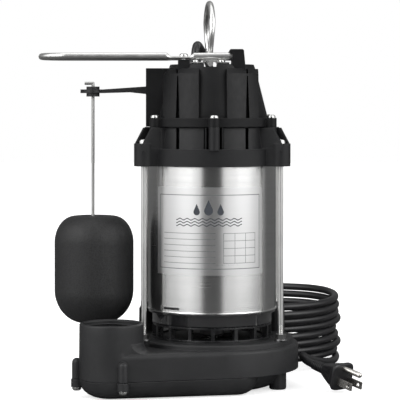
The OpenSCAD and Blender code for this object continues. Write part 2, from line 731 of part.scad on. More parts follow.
// shaft with a thinner end for the impeller nut
module motor_shaft() color(steel) {
  translate([0,0,18]) cylinder(r=shaft_r, h=187.8);
  translate([0,0,11]) cylinder(r=4, h=8);
}

// both bearings' rings, grooved for the balls
module bearing_rings(inner_r, outer_r) for (z=bearing_z) difference() {
  ring(inner_r, outer_r, z, bearing_h);
  translate([0,0,z+bearing_h/2]) rotate_extrude()
    translate([ball_pitch_r,0]) circle(r=2.98, $fn=32);
}
module bearing_outer_rings() color(steel) bearing_rings(13.4, 15.97);
module bearing_inner_rings() color(steel) bearing_rings(shaft_r+0.01, 8.6);
module bearing_balls() color([0.85,0.85,0.87])
  for (z=bearing_z, i=[0:7])
    rotate(i*45) translate([ball_pitch_r,0,z+bearing_h/2]) sphere(r=2.9, $fn=32);

// disc and hub with six swept-back vanes of three straight pieces
module impeller() color([0.75,0.72,0.5]) difference() {
  base_z = 18;
  union() {
    translate([0,0,base_z]) cylinder(r=50, h=3);
    translate([0,0,base_z]) cylinder(r=11, h=20);
    for (i=[0:5], j=[0:2])
      rotate(i*60) rotate(-j*14) translate([12+j*11.5,-1.5,base_z]) rotate(-18-j*9)
        cube([15,3,13]);
  }
  translate([0,0,10]) cylinder(r=shaft_r+0.01, h=40);
}
module impeller_nut() color([0.75,0.6,0.3]) difference() {
  translate([0,0,11.5]) cylinder(r=8, h=6.4, $fn=6);
  translate([0,0,5]) cylinder(r=4.02, h=20);
}

bottom_cover();
bottom_cover_screws();
volute_gasket();
volute_housing();
intake_screen();
lower_motor_bell();
seal_seat();
seal_rotor();
motor_can();
can_o_rings();
rating_label();
motor_cap();
cover_gasket();
switch_cover();
cover_screws();
tie_bolts();
tie_bolt_nuts();
tie_bolt_washers();
float_guard();
guard_screws();
carry_handle();
handle_straps();
strap_screws();
cord_gland();
power_cord();
plug_body();
plug_blades();
plug_ground_pin();
switch_arm();
arm_pivot_pin();
arm_grommet();
float_rod();
rod_stop();
float_ball();
snap_switch();
switch_plunger();
run_capacitor();
thermal_protector();
stator_core();
stator_windings();
rotor_core();
motor_shaft();
bearing_outer_rings();
bearing_inner_rings();
bearing_balls();
impeller();
impeller_nut();
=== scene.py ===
"""A sump pump with a float switch, its cord coiled behind it, on a white floor.

The pump stands on z = 0 about the z axis. Front is -y, where the camera is; the float
hangs on the left (-x) and the plug lies at the front right. Piece sizes are in
millimetres and are scaled to metres in make(); the stage and the materials use metres.
"""
import bpy, bmesh, json, math
from mathutils import Vector, Matrix


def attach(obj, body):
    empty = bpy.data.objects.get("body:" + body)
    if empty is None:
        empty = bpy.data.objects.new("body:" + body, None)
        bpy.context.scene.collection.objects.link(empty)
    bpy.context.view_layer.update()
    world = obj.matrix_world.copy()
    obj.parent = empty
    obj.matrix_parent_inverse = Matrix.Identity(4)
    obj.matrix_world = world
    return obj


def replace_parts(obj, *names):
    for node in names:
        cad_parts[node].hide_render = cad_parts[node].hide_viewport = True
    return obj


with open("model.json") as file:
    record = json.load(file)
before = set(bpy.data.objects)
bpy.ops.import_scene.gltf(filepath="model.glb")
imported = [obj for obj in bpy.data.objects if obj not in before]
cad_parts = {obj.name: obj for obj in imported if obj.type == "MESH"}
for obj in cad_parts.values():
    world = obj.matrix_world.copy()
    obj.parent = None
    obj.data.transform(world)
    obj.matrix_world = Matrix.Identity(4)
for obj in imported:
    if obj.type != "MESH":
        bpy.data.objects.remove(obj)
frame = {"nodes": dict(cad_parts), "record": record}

CAD_BOX_NODES = frame["nodes"]
MM = 0.001
COLLECTION = bpy.context.scene.collection


# ------------------------------------------------------------------ shader helpers
def new_material(name):
    """A material with one Principled shader: returns material, node tree and shader."""
    material = bpy.data.materials.new(name)
    material.use_nodes = True
    tree = material.node_tree
    tree.nodes.clear()
    output = tree.nodes.new("ShaderNodeOutputMaterial")
    shader = tree.nodes.new("ShaderNodeBsdfPrincipled")
    tree.links.new(shader.outputs[0], output.inputs[0])
    return material, tree, shader


def coords(tree, stretch=(1, 1, 1)):
    """Object coordinates, scaled by axis."""
    source = tree.nodes.new("ShaderNodeTexCoord")
    mapping = tree.nodes.new("ShaderNodeMapping")
    mapping.inputs["Scale"].default_value = stretch
    tree.links.new(source.outputs["Object"], mapping.inputs[0])
    return mapping.outputs[0]


def noise(tree, vector, scale, detail=3.0, rough=0.55):
    node = tree.nodes.new("ShaderNodeTexNoise")
    node.inputs["Scale"].default_value = scale
    node.inputs["Detail"].default_value = detail
    node.inputs["Roughness"].default_value = rough
    tree.links.new(vector, node.inputs["Vector"])
    return node.outputs["Fac"]


def remap(tree, value, source, target):
    """Carry value from the source range to the target range, clamped."""
    node = tree.nodes.new("ShaderNodeMapRange")
    node.clamp = True
    for i, limit in enumerate((*source, *target)):
        node.inputs[1 + i].default_value = limit
    tree.links.new(value, node.inputs[0])
    return node.outputs[0]


def mix_colour(tree, factor, first, second):
    """Mix two colours; each is a sequence of numbers or a socket."""
    node = tree.nodes.new("ShaderNodeMix")
    node.data_type = "RGBA"
    for socket, colour in ((6, first), (7, second)):
        if isinstance(colour, (tuple, list)):
            node.inputs[socket].default_value = (*colour[:3], 1)
        else:
            tree.links.new(colour, node.inputs[socket])
    tree.links.new(factor, node.inputs[0])
    return node.outputs[2]


def math_node(tree, operation, first, second=0.0):
    node = tree.nodes.new("ShaderNodeMath")
    node.operation = operation
    for i, value in enumerate((first, second)):
        if isinstance(value, (int, float)):
            node.inputs[i].default_value = value
        else:
            tree.links.new(value, node.inputs[i])
    return node.outputs[0]


def weighted_sum(tree, first, first_weight, second, second_weight):
    return math_node(tree, "ADD", math_node(tree, "MULTIPLY", first, first_weight),
                     math_node(tree, "MULTIPLY", second, second_weight))


def bump(tree, height, strength, distance, normal=None):
    node = tree.nodes.new("ShaderNodeBump")
    node.inputs["Strength"].default_value = strength
    node.inputs["Distance"].default_value = distance
    tree.links.new(height, node.inputs["Height"])
    if normal is not None:
        tree.links.new(normal, node.inputs["Normal"])
    return node.outputs[0]


def edge_normal(tree, radius):
    """Normals that look rounded at the edges."""
    node = tree.nodes.new("ShaderNodeBevel")
    node.samples = 5
    node.inputs["Radius"].default_value = radius
    return node.outputs[0]


def edge_mask(tree, rounded):
    """1 where the rounded normal leaves the true one, 0 on flats."""
    geometry = tree.nodes.new("ShaderNodeNewGeometry")
    dot = tree.nodes.new("ShaderNodeVectorMath")
    dot.operation = "DOT_PRODUCT"
    tree.links.new(rounded, dot.inputs[0])
    tree.links.new(geometry.outputs["Normal"], dot.inputs[1])
    return remap(tree, dot.outputs["Value"], (0.999, 0.86), (0.0, 1.0))


def shade(colour, factor, lift=0.0):
    return [min(1, c * factor + lift) for c in colour]


def varied(tree, value, colour, amount):
    """The colour, darker and lighter by amount as value changes."""
    return mix_colour(tree, remap(tree, value, (0.3, 0.7), (0, 1)),
                      shade(colour, 1 - amount), shade(colour, 1 + amount))


# ------------------------------------------------------------------ finishes
def plastic(name, colour, rough, grain, depth, blotch, edge, specular, mottle=0, coat=0):
    material, tree, shader = new_material(name)
    vector = coords(tree)
    clouds = noise(tree, vector, scale=28, detail=4)
    fine = noise(tree, vector, scale=grain, detail=2, rough=0.6)
    middle = noise(tree, vector, scale=260)
    base = varied(tree, clouds, colour, blotch)
    if mottle:
        cells = tree.nodes.new("ShaderNodeTexVoronoi")
        cells.inputs["Scale"].default_value = mottle
        tree.links.new(vector, cells.inputs["Vector"])
        speckle = remap(tree, cells.outputs["Distance"], (0.1, 0.6), (0.0, 0.8))
        base = mix_colour(tree, speckle, base, shade(colour, 1.9))
    normal = None
    if edge:
        normal = edge_normal(tree, edge)
        wear = math_node(tree, "MULTIPLY", edge_mask(tree, normal), 0.35)
        base = mix_colour(tree, wear, base, shade(colour, 2.6, lift=0.015))
    tree.links.new(base, shader.inputs["Base Color"])
    roughness = math_node(
        tree, "ADD", remap(tree, middle, (0.3, 0.7), (rough - 0.05, rough + 0.05)),
        math_node(tree, "MULTIPLY", fine, 0.06))
    tree.links.new(roughness, shader.inputs["Roughness"])
    shader.inputs["Specular IOR Level"].default_value = specular
    if coat:
        shader.inputs["Coat Weight"].default_value = coat
        shader.inputs["Coat Roughness"].default_value = 0.08
        shader.inputs["Coat IOR"].default_value = 1.9
    height = weighted_sum(tree, fine, 0.7, middle, 0.5)
    grained = bump(tree, height, strength=depth * 4, distance=0.00012, normal=normal)
    tree.links.new(grained, shader.inputs["Normal"])
    return material


def brushed(name, colour, rough, stretch, anisotropy, depth, tone, metallic):
    material, tree, shader = new_material(name)
    streak = noise(tree, coords(tree, stretch), scale=1.0, detail=5, rough=0.7)
    wide = noise(tree, coords(tree, tuple(s * 0.22 for s in stretch)), scale=1.0)
    clouds = noise(tree, coords(tree), scale=22, detail=4)
    base = varied(tree, weighted_sum(tree, streak, 0.6, wide, 0.4), colour, tone)
    tree.links.new(base, shader.inputs["Base Color"])
    shader.inputs["Metallic"].default_value = metallic
    roughness = math_node(
        tree, "ADD", remap(tree, streak, (0.25, 0.75), (rough - 0.02, rough + 0.02)),
        remap(tree, clouds, (0.3, 0.7), (-0.01, 0.015)))
    tree.links.new(roughness, shader.inputs["Roughness"])
    shader.inputs["Anisotropic"].default_value = anisotropy
    shader.inputs["Anisotropic Rotation"].default_value = 0.25
    tangent = tree.nodes.new("ShaderNodeTangent")
    tangent.direction_type = "RADIAL"
    tangent.axis = "Z"
    tree.links.new(tangent.outputs[0], shader.inputs["Tangent"])
    brushing = bump(tree, streak, strength=depth, distance=0.00003)
    tree.links.new(brushing, shader.inputs["Normal"])
    return material


def metal(name, colour, rough, scratch, depth, edge, tone, stretch=(1, 1, 1)):
    material, tree, shader = new_material(name)
    vector = coords(tree, stretch)
    scratches = noise(tree, vector, scale=scratch, detail=4, rough=0.7)
    clouds = noise(tree, vector, scale=90)
    tree.links.new(varied(tree, clouds, colour, tone), shader.inputs["Base Color"])
    shader.inputs["Metallic"].default_value = 1.0
    roughness = remap(tree, weighted_sum(tree, scratches, 0.5, clouds, 0.5),
                      (0.3, 0.7), (rough - 0.06, rough + 0.08))
    tree.links.new(roughness, shader.inputs["Roughness"])
    normal = edge_normal(tree, edge) if edge else None
    scratched = bump(tree, scratches, strength=depth, distance=0.00004, normal=normal)
    tree.links.new(scratched, shader.inputs["Normal"])
    return material


# colour, roughness, grain scale, grain depth, blotch strength, edge radius, specular
PLASTICS = {
    "housing_black": ((0.0175, 0.0177, 0.0186), 0.43, 2400, 0.16, 0.18, 0.0008, 0.30),
    "cap_black": ((0.0062, 0.0063, 0.0068), 0.44, 2400, 0.16, 0.2, 0.0007, 0.20),
    "ring_black": ((0.0110, 0.0112, 0.0120), 0.43, 2400, 0.16, 0.18, 0.0008, 0.26),
    "screen_black": ((0.008, 0.0082, 0.009), 0.26, 2600, 0.04, 0.2, 0.0005, 0.6),
    "bell_gloss": ((0.010, 0.010, 0.011), 0.12, 1800, 0.0, 0.1, 0.0006, 0.9),
    "gasket_rubber": ((0.02, 0.02, 0.02), 0.7, 3000, 0.2, 0.2, 0.0, 0.45),
    "seal_ceramic": ((0.8, 0.78, 0.72), 0.3, 2000, 0.05, 0.04, 0.0, 0.45),
    "seal_carbon": ((0.04, 0.04, 0.042), 0.45, 3000, 0.1, 0.2, 0.0, 0.45),
    "cord_rubber": ((0.0105, 0.0105, 0.0115), 0.33, 1500, 0.07, 0.25, 0.0, 0.45),
    "arm_plastic": ((0.012, 0.012, 0.013), 0.44, 2600, 0.12, 0.2, 0.0005, 0.45),
    "grommet_rubber": ((0.018, 0.018, 0.019), 0.5, 2200, 0.15, 0.2, 0.0004, 0.45),
    "float_plastic": ((0.0110, 0.0110, 0.0114), 0.5, 1500, 0.5, 0.35, 0.0, 0.34),
    "switch_plastic": ((0.08, 0.03, 0.03), 0.5, 2000, 0.1, 0.15, 0.0005, 0.45),
    "plunger_plastic": ((0.6, 0.12, 0.06), 0.4, 2000, 0.05, 0.1, 0.0003, 0.45),
    "impeller_plastic": ((0.42, 0.39, 0.28), 0.5, 1800, 0.15, 0.12, 0.0006, 0.45),
    "label_ink": ((0.035, 0.04, 0.05), 0.5, 2600, 0.05, 0.15, 0.0, 0.45),
    "label_ink_grey": ((0.10, 0.105, 0.11), 0.5, 2600, 0.05, 0.15, 0.0, 0.45),
}
# clear coat weight; scale of light speckles
PLASTIC_EXTRAS = {"bell_gloss": {"coat": 1.0}, "float_plastic": {"mottle": 700}}
# colour, roughness, scratch scale, scratch depth, edge radius, tone variation, stretch
METALS = {
    "tie_steel": ((0.72, 0.72, 0.71), 0.34, 60, 0.0, 0.0, 0.03),
    "nut_steel": ((0.34, 0.34, 0.34), 0.30, 500, 0.012, 0.0003, 0.08),
    "rod_steel": ((0.50, 0.50, 0.49), 0.42, 60, 0.0, 0.0, 0.03),
    "stainless_fasteners": ((0.80, 0.80, 0.785), 0.2, 500, 0.012, 0.0003, 0.08, (1, 1, 0.05)),
    "wire_steel": ((0.78, 0.78, 0.77), 0.34, 60, 0.0, 0.0, 0.04),
    "plug_metal": ((0.76, 0.74, 0.70), 0.24, 1400, 0.2, 0.0002, 0.14),
    "capacitor_can": ((0.72, 0.73, 0.74), 0.32, 700, 0.2, 0.0003, 0.1),
    "bearing_steel": ((0.75, 0.75, 0.77), 0.15, 800, 0.15, 0.0003, 0.1),
    "brass_nut": ((0.72, 0.5, 0.2), 0.28, 900, 0.15, 0.0003, 0.1),
}
# colour, roughness, streak scale by axis, anisotropy, streak depth, tone variation, metallic
BRUSHED = {
    "can_steel": ((0.82, 0.82, 0.815), 0.25, (3, 3, 1150), 0.85, 0.006, 0.09, 1.0),
    "label_foil": ((0.78, 0.78, 0.78), 0.29, (12, 12, 1100), 0.7, 0.002, 0.015, 0.92),
    "lamination_steel": ((0.33, 0.33, 0.35), 0.4, (20, 20, 2400), 0.3, 0.5, 0.2, 1.0),
    "copper_wire": ((0.65, 0.27, 0.09), 0.34, (900, 900, 900), 0.1, 0.5, 0.25, 1.0),
    "shaft_steel": ((0.7, 0.7, 0.7), 0.2, (40, 40, 3000), 0.4, 0.2, 0.12, 1.0),
}
MATERIALS = {name: plastic(name + "_m", *row, **PLASTIC_EXTRAS.get(name, {}))
             for name, row in PLASTICS.items()}
MATERIALS.update({name: metal(name + "_m", *row) for name, row in METALS.items()})
MATERIALS.update({name: brushed(name + "_m", *row) for name, row in BRUSHED.items()})


# ------------------------------------------------------------------ CAD pieces
RECORDED_LOOK = {s["node"]: s["material_slot"] for s in frame["record"]["subparts"]}
# pieces whose look differs from the recorded one
OWN_LOOK = {
    "motor_cap": "ring_black", "switch_cover": "cap_black", "float_rod": "rod_steel",
    "tie_bolts": "tie_steel", "tie_bolt_nuts": "nut_steel", "tie_bolt_washers": "nut_steel",
}


def smooth_faces(mesh):
    mesh.polygons.foreach_set("use_smooth", [True] * len(mesh.polygons))


def finish_cad_piece(name, piece):
    """Give the piece its material, and smooth it between its sharp edges."""
    material = MATERIALS[OWN_LOOK.get(name, RECORDED_LOOK[name])]
    for slot in piece.material_slots:
        slot.material = material
    if not piece.material_slots:
        piece.data.materials.append(material)
    smooth_faces(piece.data)
    weld = piece.modifiers.new("weld", "WELD")
    weld.merge_threshold = 2e-6
    split = piece.modifiers.new("split", "EDGE_SPLIT")
    split.split_angle = math.radians(28)
    split.use_edge_sharp = False


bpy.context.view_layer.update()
for node_name, node in CAD_BOX_NODES.items():
    finish_cad_piece(node_name, node)


# ------------------------------------------------------------------ mesh helpers
def cos_deg(angle):
    return math.cos(math.radians(angle))


def sin_deg(angle):
    return math.sin(math.radians(angle))


def full_turn(count):
    """Angles in radians of count points round a circle."""
    return [2 * math.pi * k / count for k in range(count)]


def signed_power(value, exponent):
    return math.copysign(abs(value) ** exponent, value)


def make(name, verts, faces, material, body="pump", smooth=True):
    """An object from points in millimetres, riding on the named body."""
    mesh = bpy.data.meshes.new(name)
    mesh.from_pydata([tuple(c * MM for c in v) for v in verts], [], faces)
    mesh.validate()
    mesh.update()
    ob = bpy.data.objects.new(name, mesh)
    COLLECTION.objects.link(ob)
    bm = bmesh.new()
    bm.from_mesh(mesh)
    bmesh.ops.recalc_face_normals(bm, faces=bm.faces)
    bm.to_mesh(mesh)
    bm.free()
    if smooth:
        smooth_faces(mesh)
    mesh.materials.append(MATERIALS[material])
    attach(ob, body)
    return ob


def sharpen(ob, degrees):
    """Mark the edges that turn by more than the angle as sharp."""
    bm = bmesh.new()
    bm.from_mesh(ob.data)
    for edge in bm.edges:
        if len(edge.link_faces) == 2 and edge.calc_face_angle(0) > math.radians(degrees):
            edge.smooth = False
    bm.to_mesh(ob.data)
    bm.free()


def skin(name, rings, material, sharp):
    """Skin through rings of equal length, closed at both ends."""
    size = len(rings[0])
    last = (len(rings) - 1) * size
    faces = []
    for start in range(0, last, size):
        for k in range(size):
            a, b = start + k, start + (k + 1) % size
            faces.append((a, b, b + size, a + size))
    faces.append(tuple(range(size - 1, -1, -1)))
    faces.append(tuple(last + k for k in range(size)))
    ob = make(name, [v for ring in rings for v in ring], faces, material)
    sharpen(ob, sharp)
    return ob


def tangents(points):
    last = len(points) - 1
    return [(points[min(i + 1, last)] - points[max(i - 1, 0)]).normalized()
            for i in range(last + 1)]


def sweep(name, points, radius, material, segments):
    """Round section carried along the points without twisting."""
    along = tangents(points)
    reference = Vector((0, 0, 1)) if abs(along[0].z) < 0.9 else Vector((1, 0, 0))
    side = along[0].cross(reference).normalized()
    rings = []
    for i, (point, tangent) in enumerate(zip(points, along)):
        if i:
            side = (side - tangent * side.dot(tangent)).normalized()
        other = tangent.cross(side)
        rings.append([point + side * (radius * math.cos(a)) + other * (radius * math.sin(a))
                      for a in full_turn(segments)])
    return skin(name, rings, material, sharp=50)


def bezier_chain(start, stretches):
    """Points on joined Bezier curves, each given as (handle, handle, end, steps)."""
    start = Vector(start)
    points = []
    for leave, arrive, end, steps in stretches:
        leave, arrive, end = Vector(leave), Vector(arrive), Vector(end)
        for i in range(steps):
            t = i / steps
            points.append(start * (1 - t) ** 3 + leave * (3 * t * (1 - t) ** 2)
                          + arrive * (3 * t * t * (1 - t)) + end * t ** 3)
        start = end
    return points + [start]


def resample(points, step):
    """Points at an even step along the line, with its last point kept."""
    out, carry = [points[0]], 0.0
    for a, b in zip(points, points[1:]):
        length = (b - a).length
        distance = step - carry
        while distance <= length:
            out.append(a.lerp(b, distance / length))
            distance += step
        carry = length - (distance - step)
    return out + [points[-1]]


def relax(points, rounds):
    """Smooth the line, with its ends held."""
    for _ in range(rounds):
        inner = [(a + b * 2 + c) / 4 for a, b, c in zip(points, points[1:], points[2:])]
        points = [points[0]] + inner + [points[-1]]
    return points


# ------------------------------------------------------------------ power cord
CORD_RADIUS = 3.5
CORD_LOW_Z = CORD_RADIUS + 0.3  # centre line of the cord where it lies on the floor
COIL_X, COIL_Y = 37.0, 168.5
COIL_RADIUS = 86.4
COIL_DEGREES = 3091
# sideways swing of the turns: size, waves per turn, phase in degrees
COIL_SWINGS = ((1.9, 0.61, 20), (1.7, 1.37, 80), (1.1, 2.21, 0))


def coil_at(angle):
    """Point of the coil after angle degrees; every turn lies on the one below."""
    turns = angle / 360.0
    swing = sum(size * sin_deg(angle * rate + phase) for size, rate, phase in COIL_SWINGS)
    radius = COIL_RADIUS + swing * min(1.0, angle / 200.0)
    lift = (min(1.0, turns) * turns * 0.14 * sin_deg(2 * angle + 40)
            + turns * 0.05 * sin_deg(3 * angle))
    return Vector((COIL_X + radius * cos_deg(angle), COIL_Y + radius * sin_deg(angle),
                   CORD_LOW_Z + turns * (2 * CORD_RADIUS + 0.2) + lift))


def cord_path():
    """From the plug, round the coil, up behind the pump and down into its top."""
    coil = [coil_at(angle) for angle in range(0, COIL_DEGREES, 4)]
    first, last = coil[0], coil[-1]
    heading = (last - coil[-2]).normalized()
    from_plug = bezier_chain((87.38, -20.96, 22.02), (
        ((81.88, -14.96, 23.67), (80.5, 8, 26), (85, 36, 20), 30),
        ((93, 86, 9.3), (112, 100, CORD_LOW_Z), (119, 128, CORD_LOW_Z), 30),
        ((122.4, 141.5, CORD_LOW_Z), (first.x, first.y - 13.5, first.z), first, 14),
    ))
    to_pump = bezier_chain(last, (
        (last + heading * 55, (4, 86, 150), (4, 78, 235), 60),
        ((4, 74, 260), (1, 66, 280), (-3, 58, 290), 16),
        ((-6, 51, 298), (-10.8, 44, 303.6), (-11.3, 36, 304.8), 14),
        ((-11.8, 27, 306), (-15.5, 12, 311), (-15.5, 12, 294), 26),
    ))
    return ([Vector((89.3, -23.06, 21.44))] + from_plug + coil[1:] + to_pump[1:]
            + [Vector((-15.5, 12, 291)), Vector((-15.5, 12, 288))])


cord = sweep("power_cord_detail", relax(resample(cord_path(), 3.2), 3), CORD_RADIUS,
             "cord_rubber", segments=16)
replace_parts(cord, "power_cord")

# ------------------------------------------------------------------ plug
# The plug's own x axis runs through it, with its face at x = 0 and the cord towards -x.
PLUG_FRAME = (Matrix.Translation(Vector((114, -50, 14)))
              @ Matrix.Rotation(math.radians(-47.5), 4, "Z")
              @ Matrix.Rotation(math.radians(11.5), 4, "Y"))
# x, half width in y, half height in z, squareness (2 is an ellipse)
PLUG_FACE = (
    (0.0, 11.6, 10.6, 4.2), (-0.25, 12.4, 11.4, 4.2), (-0.8, 12.9, 11.9, 4.2),
    (-2.4, 13.0, 12.0, 4.2), (-3.0, 12.7, 11.7, 4.2), (-3.2, 12.0, 11.2, 4.0),
    (-3.6, 11.9, 11.1, 3.8),
)
PLUG_REAR = ((-22.0, 5.4, 5.3, 2.2), (-22.3, 4.9, 4.8, 2.0))
TAPER_START, TAPER_LENGTH, TAPER_STEPS = -3.6, 17.9, 14
GRIP_DENT = 1.5
RELIEF_RIBS, RELIEF_START, RELIEF_PITCH = 7, -22.0, 2.15
# one rib of the strain relief: distance behind its start, depth below its crest
RELIEF_RIB = ((0, 0.95), (0.25, 0.1), (0.5, 0), (1.15, 0), (1.4, 0.1), (1.65, 0.95))


def taper_half_width(t):
    """Half width of the plug at fraction t of its taper."""
    return 11.9 - 6.2 * t ** 1.15


def plug_section(x, half_y, half_z, squareness, dent=0.0):
    """Rounded section at x; dent presses the two sides in for the finger grip."""
    ring = []
    for a in full_turn(56):
        y = half_y * signed_power(math.cos(a), 2 / squareness)
        z = half_z * signed_power(math.sin(a), 2 / squareness)
        side = max(0.0, 1 - abs(z) / (half_z * 0.72))
        y -= math.copysign(dent * min(1.0, side * 3), y)
        ring.append(PLUG_FRAME @ Vector((x, y, z)))
    return ring


def plug_body():
    rings = [plug_section(*row) for row in PLUG_FACE]
    for i in range(1, TAPER_STEPS + 1):
        t = i / TAPER_STEPS
        dent = 0.0
        if 0.08 < t < 0.88:
            dent = GRIP_DENT * math.sin(math.pi * ((t - 0.08) / 0.8)) ** 0.6
        rings.append(plug_section(TAPER_START - TAPER_LENGTH * t, taper_half_width(t),
                                  11.1 - 5.6 * t ** 1.15, 3.8 - 1.2 * t, dent))
    rings += [plug_section(*row) for row in PLUG_REAR]
    return skin("plug_body_detail", rings, "cord_rubber", sharp=40)


def plug_grips():
    """Four upright ribs on either side of the plug."""
    for label, side in (("l", -1), ("r", 1)):
        for i in range(4):
            x = -7.4 - 2.3 * i
            half = 4.4 - 0.6 * i
            y = taper_half_width((TAPER_START - x) / TAPER_LENGTH) - 1.15
            points = [PLUG_FRAME @ Vector((x, side * (y + 0.15 * math.cos(math.pi * k / 8)),
                                           -half + 2 * half * k / 16)) for k in range(17)]
            sweep(f"plug_grip_{label}{i}", points, 0.55, "cord_rubber", segments=10)


def plug_strain_relief():
    """Ribbed sleeve behind the plug."""
    outline = []  # x, radius
    for i in range(RELIEF_RIBS):
        start = RELIEF_START - RELIEF_PITCH * i
        crest = 5.0 - 0.12 * i
        outline += [(start - back, crest - depth) for back, depth in RELIEF_RIB]
    outline += [(-37.0, 3.75), (-37.2, CORD_RADIUS)]
    rings = [[PLUG_FRAME @ Vector((x, radius * math.cos(a), radius * math.sin(a)))
              for a in full_turn(40)] for x, radius in outline]
    skin("plug_strain_relief", rings, "cord_rubber", sharp=30)


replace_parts(plug_body(), "plug_body")
plug_grips()
plug_strain_relief()

# ------------------------------------------------------------------ float
FLOAT_X, FLOAT_Z = -106.1, 55.5
FLOAT_RADIUS, FLOAT_HEIGHT = 35.5, 96.0
BORE_RADIUS = 1.47
BORE_MOUTH = 2.1
BORE_SHIFT = 1.0  # the bore sits over the rod, left of the float's own axis
FLOAT_ARC_STEPS = 26
FLOAT_SEGMENTS = 128


def float_outline():
    """Closed outline (radius, height): up the outside from the bore, back down the bore."""
    arc = [90 * i / FLOAT_ARC_STEPS for i in range(FLOAT_ARC_STEPS + 1)]
    outline = [(BORE_RADIUS, 0.6), (BORE_MOUTH, 0.0), (8.4, 0.0), (9.0, 0.05)]
    outline += [(9 + (FLOAT_RADIUS - 9) * sin_deg(a), 30 - 30 * cos_deg(a)) for a in arc[1:]]
    outline += [(FLOAT_RADIUS, z) for z in (33, 40, 50, 60)]
    outline += [(FLOAT_RADIUS - 18 + 18 * cos_deg(a), FLOAT_HEIGHT - 24 + 24 * sin_deg(a))
                for a in arc]
    # shallow ring-shaped step in the top, then the bore
    outline += [(radius, FLOAT_HEIGHT - drop) for radius, drop in (
        (12.2, 0), (11.6, 0.5), (8.2, 0.5), (7.6, 0), (BORE_MOUTH, 0), (BORE_RADIUS, 0.6))]
    return outline


def float_ball():
    outline = float_outline()
    size = len(outline)
    verts = [(FLOAT_X + radius * math.cos(a), radius * math.sin(a), FLOAT_Z + z)
             for a in full_turn(FLOAT_SEGMENTS) for radius, z in outline]
    faces = []
    for k in range(FLOAT_SEGMENTS):
        here, there = k * size, (k + 1) % FLOAT_SEGMENTS * size
        for i in range(size):
            j = (i + 1) % size
            faces.append((here + i, there + i, there + j, here + j))
    ob = make("float_ball_detail", verts, faces, "float_plastic", "float")
    sharpen(ob, 32)
    for v in ob.data.vertices:
        if math.hypot(v.co.x - FLOAT_X * MM, v.co.y) < (BORE_MOUTH + 0.2) * MM:
            v.co.x -= BORE_SHIFT * MM
    return ob


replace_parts(float_ball(), "float_ball")

# ------------------------------------------------------------------ float guard
# A level wire loop round the float, open to the right and pressed flat near its two ends.
GUARD_WIRE_RADIUS = 2.9
GUARD_Z = 294.6
GUARD_LEFT_X = -155.7 + GUARD_WIRE_RADIUS
GUARD_END_X = 22
GUARD_BEND = 24
GUARD_BEND_Y = 4
GUARD_HALF_WIDTH = GUARD_BEND + GUARD_BEND_Y
FLAT_FROM_X, FLAT_TO_X = -18.0, -38.5
FLAT_HALF_WIDTH, FLAT_HALF_THICKNESS, FLAT_DROP = 4.6, 1.15, -1.5


def guard_path():
    y = GUARD_HALF_WIDTH
    points = [(GUARD_END_X, -y), (-37, -y)]
    for centre_y, first, stop in ((-GUARD_BEND_Y, 270, 179), (GUARD_BEND_Y, 180, 89)):
        points += [(GUARD_LEFT_X + GUARD_BEND + GUARD_BEND * cos_deg(a),
                    centre_y + GUARD_BEND * sin_deg(a)) for a in range(first, stop, -3)]
    points += [(-37, y), (GUARD_END_X, y)]
    return resample([Vector((x, y, GUARD_Z)) for x, y in points], 1.0)


def float_guard():
    points = guard_path()
    last = len(points) - 1
    near, far = ((GUARD_END_X - x) / last for x in (FLAT_FROM_X, FLAT_TO_X))
    flats = ((near, far), (1 - far, 1 - near))  # fractions along the wire
    up = Vector((0, 0, 1))
    rings = []
    for i, (point, tangent) in enumerate(zip(points, tangents(points))):
        along = i / last
        width, thickness, drop = GUARD_WIRE_RADIUS, GUARD_WIRE_RADIUS, 0.0
        for start, end in flats:
            flat = (min(1.0, max(0.0, (along - start) / 0.012 + 0.5))
                    * min(1.0, max(0.0, (end - along) / 0.012 + 0.5)))
            flat = flat * flat * (3 - 2 * flat)
            width += (FLAT_HALF_WIDTH - width) * flat
            thickness += (FLAT_HALF_THICKNESS - thickness) * flat
            drop += FLAT_DROP * flat
        side = tangent.cross(up).normalized()
        power = 1.0 if width < GUARD_WIRE_RADIUS * 1.2 else 0.6  # squarer where flat
        rings.append([point + side * (width * signed_power(math.cos(a), power))
                      + up * (thickness * signed_power(math.sin(a), power) + drop)
                      for a in full_turn(24)])
    return skin("float_guard_detail", rings, "wire_steel", sharp=40)


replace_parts(float_guard(), "float_guard")

# ------------------------------------------------------------------ carry handle
HANDLE_WIRE_RADIUS = 2.6
HANDLE_TOP_Z = 345 - HANDLE_WIRE_RADIUS
HANDLE_FOOT_Z = 287.8
HANDLE_BEND = 27
HANDLE_X = -2.4
# foot and leg of one side: y, height above the foot
HANDLE_LEG = ((34.5, 0), (25.4, 0), (22.8, 0.8), (21.6, 2.8), (21.3, 6), (21.9, 11),
              (24.2, 17), (26.3, 23))


def handle_twist(z):
    """Sideways lean per millimetre of y, growing up the handle."""
    return math.tan(math.radians(1.2 + 5 * min(1, max(0, (z - 296) / 30))))


def carry_handle():
    half = [(y, HANDLE_FOOT_Z + z) for y, z in HANDLE_LEG]
    half += [(HANDLE_BEND * cos_deg(a), HANDLE_TOP_Z - HANDLE_BEND + HANDLE_BEND * sin_deg(a))
             for a in range(0, 91, 5)]
    both = half + [(-y, z) for y, z in reversed(half[:-1])]
    path = relax(resample([Vector((0, y, z)) for y, z in both], 0.8), 6)
    path = [Vector((HANDLE_X - p.y * handle_twist(p.z), p.y, p.z)) for p in path]
    return sweep("carry_handle_detail", path, HANDLE_WIRE_RADIUS, "wire_steel", segments=28)


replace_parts(carry_handle(), "carry_handle")

